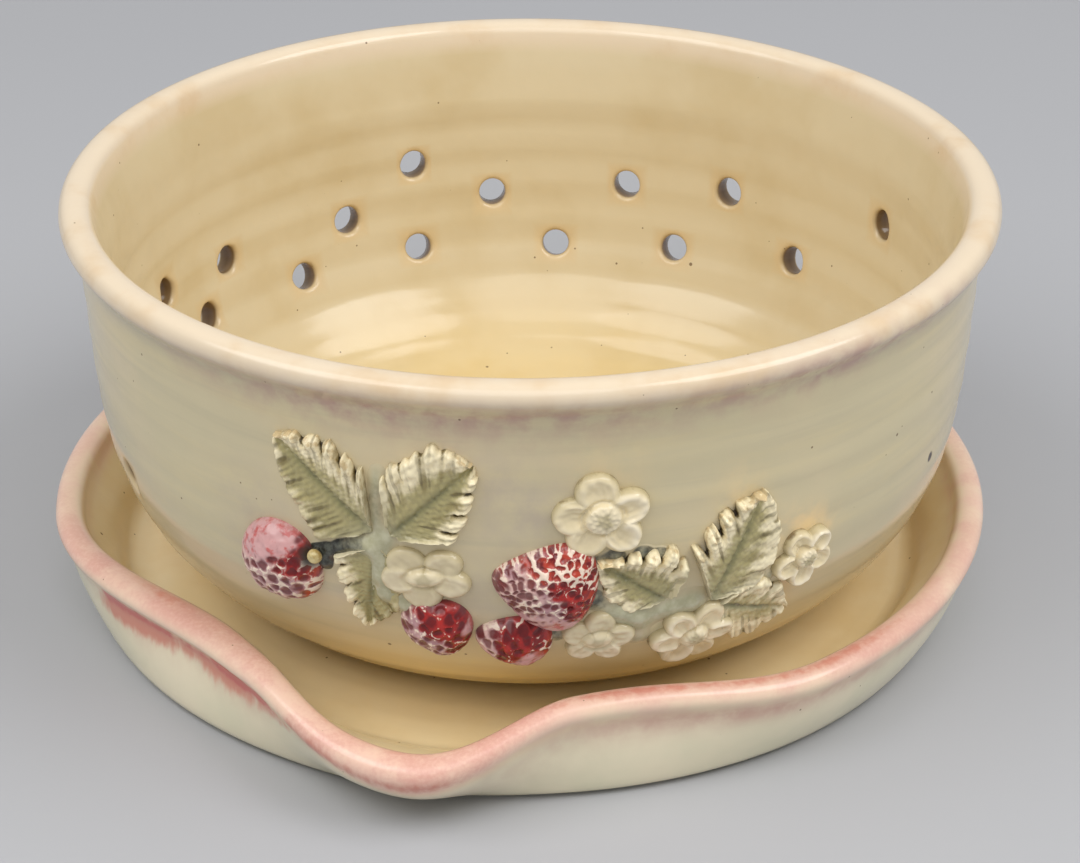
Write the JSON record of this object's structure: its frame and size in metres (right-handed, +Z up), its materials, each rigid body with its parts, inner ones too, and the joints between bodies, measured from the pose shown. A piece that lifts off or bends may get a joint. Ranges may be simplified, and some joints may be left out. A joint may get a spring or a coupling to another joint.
{
  "type": "berry colander bowl",
  "caption": "Round stoneware bowl with drain holes and raised leaf, blossom and berry sprigs, standing loose in a drip plate with a pouring spout.",
  "frame": {"origin": "middle of the drip plate's flat underside, where the set stands", "axes": "+Z up along the plate's axis, -Y towards the decorated front, +X to the right of the spout"},
  "size_m": [0.1976, 0.204, 0.09],
  "materials": {
    "plate_glaze": "gloss cream glaze with a rose band on the rim",
    "bowl_glaze": "gloss cream glaze with fine dark specks",
    "leaf_glaze": "pale green glaze, brown in the veins",
    "blossom_glaze": "gloss off-white glaze",
    "berry_glaze": "gloss red glaze, broken with white"
  },
  "bodies": {
    "plate": {"drip_plate": "plate_glaze"},
    "bowl": {"colander_bowl": "bowl_glaze", "left_leaf_outer": "leaf_glaze", "left_leaf_inner": "leaf_glaze", "left_leaf_lower": "leaf_glaze", "right_leaf_inner": "leaf_glaze", "right_leaf_upper": "leaf_glaze", "right_leaf_lower": "leaf_glaze", "left_blossom": "blossom_glaze", "right_blossom_top": "blossom_glaze", "right_blossom_low_inner": "blossom_glaze", "right_blossom_low_outer": "blossom_glaze", "right_blossom_end": "blossom_glaze", "left_berry_round": "berry_glaze", "left_berry_hanging": "berry_glaze", "right_berry_large": "berry_glaze", "right_berry_small": "berry_glaze", "left_berry_stalk": "berry_glaze"}
  },
  "joints": [
    {"name": "bowl_lift", "type": "slide", "parent": "plate", "child": "bowl", "axis": [0, 0, 1], "range_m": [0, 0.12]}
  ]
}
